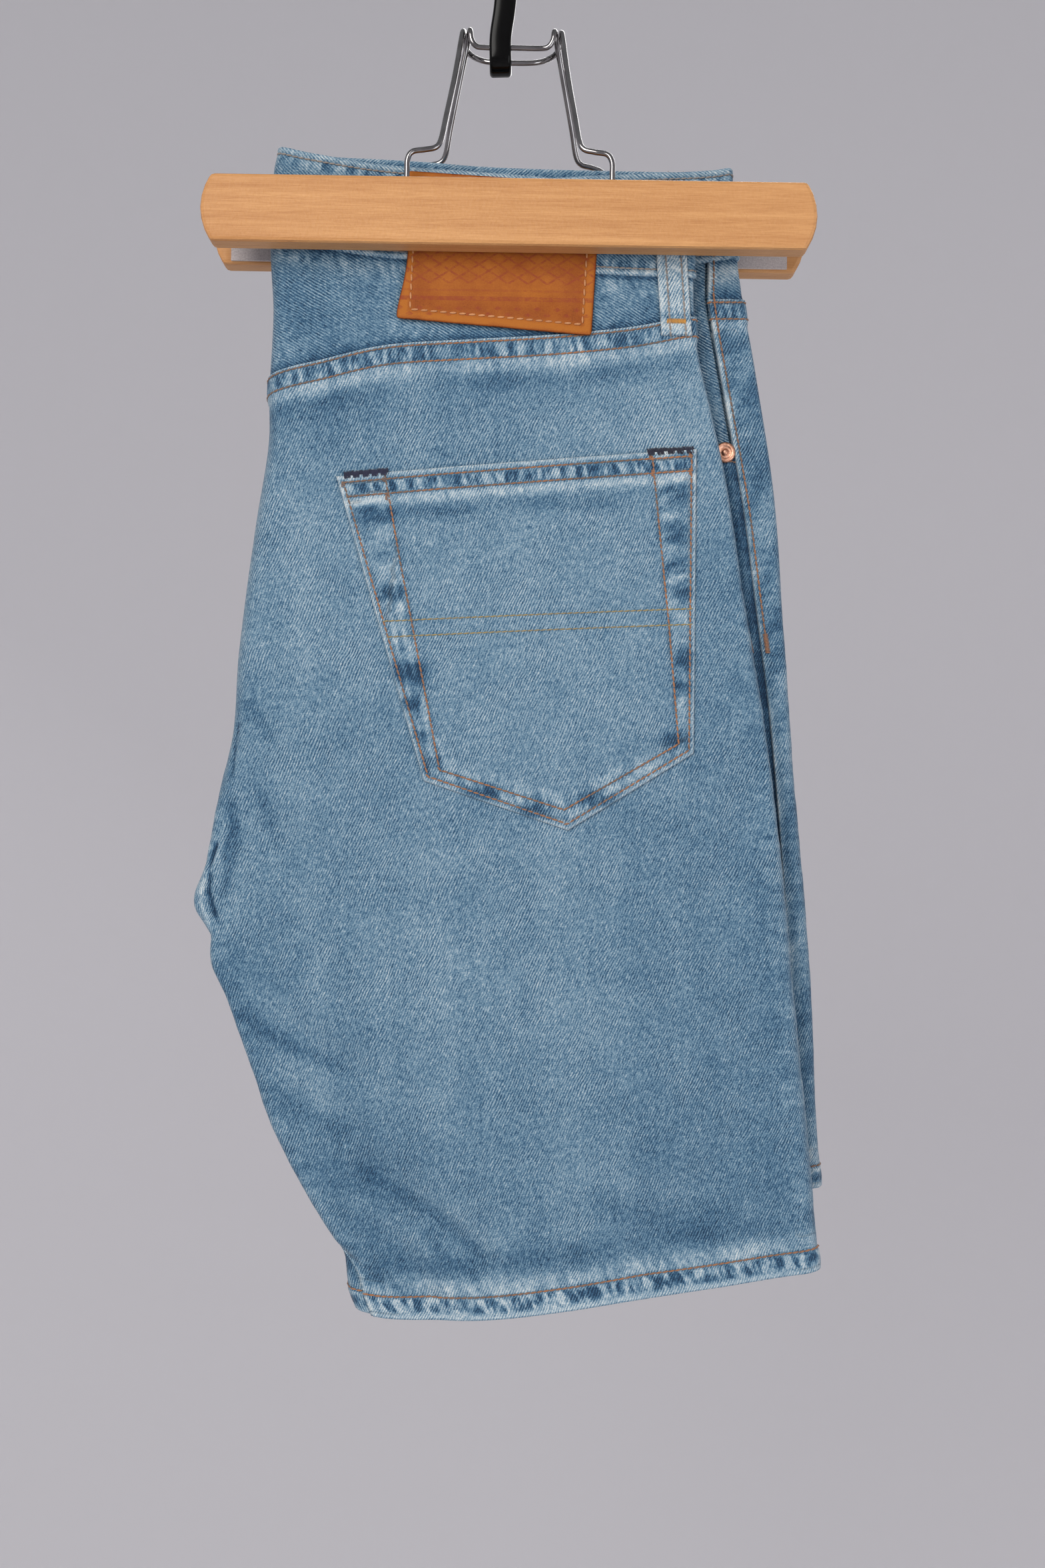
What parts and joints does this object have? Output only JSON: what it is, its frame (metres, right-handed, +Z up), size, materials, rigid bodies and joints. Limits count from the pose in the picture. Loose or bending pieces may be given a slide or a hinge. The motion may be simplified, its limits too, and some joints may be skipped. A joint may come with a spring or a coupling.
{
  "type": "pair of denim shorts on a clamp hanger",
  "caption": "Light-wash denim shorts folded in half along the centre back, clamped by the waistband in a wooden hanger with a flat hook.",
  "frame": {"origin": "underside of the hook's crown, where a rail carries the hanger", "axes": "+Z up, +X along the jaws towards the shorts' side seams, +Y from the right leg in front to the left leg behind"},
  "size_m": [0.2626, 0.051, 0.5998],
  "materials": {
    "denim": "washed twill, matte",
    "dark_denim": "unwashed twill, matte",
    "patch_leather": "smooth, satin",
    "copper": "copper plated, satin",
    "beech": "lacquered beech, satin",
    "felt": "pressed felt, matte",
    "chrome_wire": "polished",
    "black_coat": "gloss black"
  },
  "bodies": {
    "root": {"back_right": "denim", "back_left": "denim", "front_right": "denim", "front_left": "denim", "yoke_right": "denim", "yoke_left": "denim", "waistband": "denim", "hem_right": "denim", "hem_left": "denim", "pocket_back_right": "denim", "pocket_back_left": "denim", "loop_back": "denim", "loop_side_right": "denim", "loop_side_left": "denim", "loop_front_right": "denim", "loop_front_left": "denim", "fly_facing": "denim", "facing_right": "dark_denim", "facing_left": "dark_denim", "patch": "patch_leather", "rivet_right_side": "copper", "rivet_right_front": "copper", "rivet_left_side": "copper", "rivet_left_front": "copper", "waist_button": "copper", "jaw_front": "beech", "jaw_rear": "beech", "felt_front": "felt", "felt_rear": "felt", "bail_front": "chrome_wire", "bail_rear": "chrome_wire", "hook": "black_coat"}
  },
  "joints": []
}
